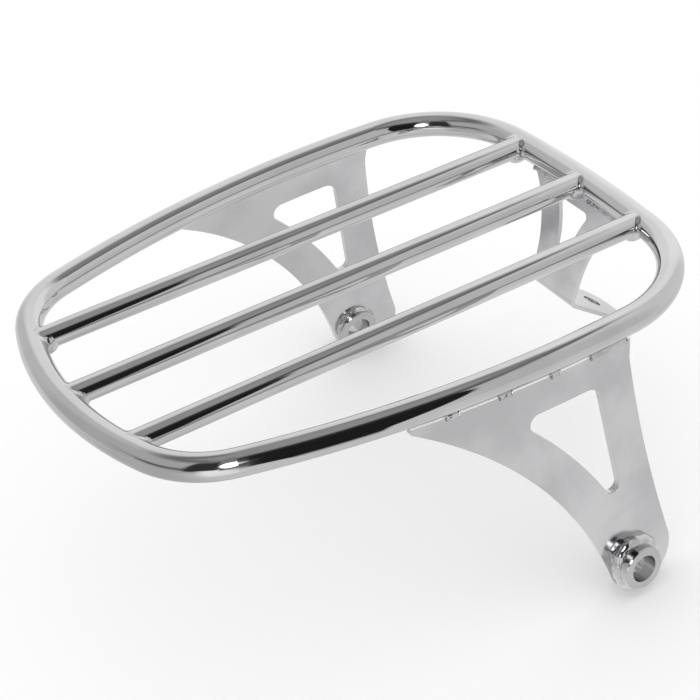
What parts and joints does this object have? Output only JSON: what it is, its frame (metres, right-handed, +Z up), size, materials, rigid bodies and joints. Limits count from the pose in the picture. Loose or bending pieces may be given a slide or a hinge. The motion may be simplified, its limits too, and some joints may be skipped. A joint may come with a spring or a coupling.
{
  "type": "motorcycle luggage rack",
  "caption": "Welded, chromed luggage rack: a bent tube hoop with lengthwise bars, rolled side plates with mounting bushes, and a folded front bracket with a bolt foot.",
  "frame": {"origin": "centre of the bolt hole in the front bracket's foot, on the foot's underside", "axes": "+X towards the bike's front, +Y towards its left, +Z up, square to the carrying deck"},
  "size_m": [0.338, 0.2886, 0.159],
  "materials": {
    "chromed_tube": "polished",
    "chromed_sheet": "polished, softly uneven",
    "chromed_weld": "chromed over a rippled weld bead"
  },
  "bodies": {
    "root": {"hoop": "chromed_tube", "bar_left": "chromed_tube", "bar_middle": "chromed_tube", "bar_right": "chromed_tube", "front_bracket": "chromed_sheet", "hoop_butt_weld": "chromed_weld", "bar_left_front_weld": "chromed_weld", "bar_left_rear_weld": "chromed_weld", "bar_middle_front_weld": "chromed_weld", "bar_middle_rear_weld": "chromed_weld", "bar_right_front_weld": "chromed_weld", "bar_right_rear_weld": "chromed_weld", "front_bracket_weld": "chromed_weld", "side_plate_left": "chromed_sheet", "bush_left": "chromed_tube", "side_plate_left_tacks": "chromed_weld", "bush_left_outer_weld": "chromed_weld", "bush_left_inner_weld": "chromed_weld", "side_plate_right": "chromed_sheet", "bush_right": "chromed_tube", "side_plate_right_tacks": "chromed_weld", "bush_right_outer_weld": "chromed_weld", "bush_right_inner_weld": "chromed_weld"}
  },
  "joints": []
}
